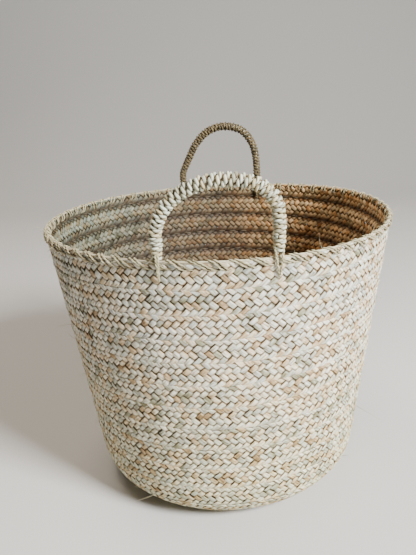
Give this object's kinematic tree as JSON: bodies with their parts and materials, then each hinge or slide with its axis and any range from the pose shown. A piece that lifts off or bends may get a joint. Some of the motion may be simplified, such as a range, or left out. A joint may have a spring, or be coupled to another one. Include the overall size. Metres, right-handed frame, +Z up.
{
  "type": "seagrass storage basket",
  "caption": "Round open storage basket of seagrass plait sewn in a spiral, with an overcast rim and swinging wrapped rope handles hung on cord loops.",
  "frame": {"origin": "middle of the base's underside, on the ground", "axes": "+Z up, -Y towards the front handle, +X to the right seen from the front"},
  "size_m": [0.4016, 0.4119, 0.4152],
  "materials": {
    "plait": "dry matt seagrass, cream with green and tan strands",
    "sewing": "dark twine, matt",
    "rope_core": "twisted seagrass rope, matt",
    "lashing": "two-ply seagrass cord, matt",
    "loop_cord": "two-ply seagrass cord, matt",
    "wrapping": "pale two-ply seagrass cord, matt"
  },
  "bodies": {
    "basket": {"base_plait": "plait", "heel_plait": "plait", "wall_plait": "plait", "base_seam_cord": "sewing", "wall_seam_cord": "sewing", "rim_core": "rope_core", "rim_lashing": "lashing", "front_left_cord_loop": "loop_cord", "front_right_cord_loop": "loop_cord", "back_left_cord_loop": "loop_cord", "back_right_cord_loop": "loop_cord"},
    "front_handle": {"front_handle_core": "rope_core", "front_handle_wrap": "wrapping"},
    "back_handle": {"back_handle_core": "rope_core", "back_handle_wrap": "wrapping"}
  },
  "joints": [
    {"name": "front_handle_swing", "type": "hinge", "parent": "basket", "child": "front_handle", "pos_m": [0, -0.18973, 0.333], "axis": [1, 0, 0], "range_deg": [-105, 98]},
    {"name": "back_handle_swing", "type": "hinge", "parent": "basket", "child": "back_handle", "pos_m": [0.00861, 0.18954, 0.333], "axis": [-0.999, 0.0454, 0], "range_deg": [-105, 98]}
  ]
}
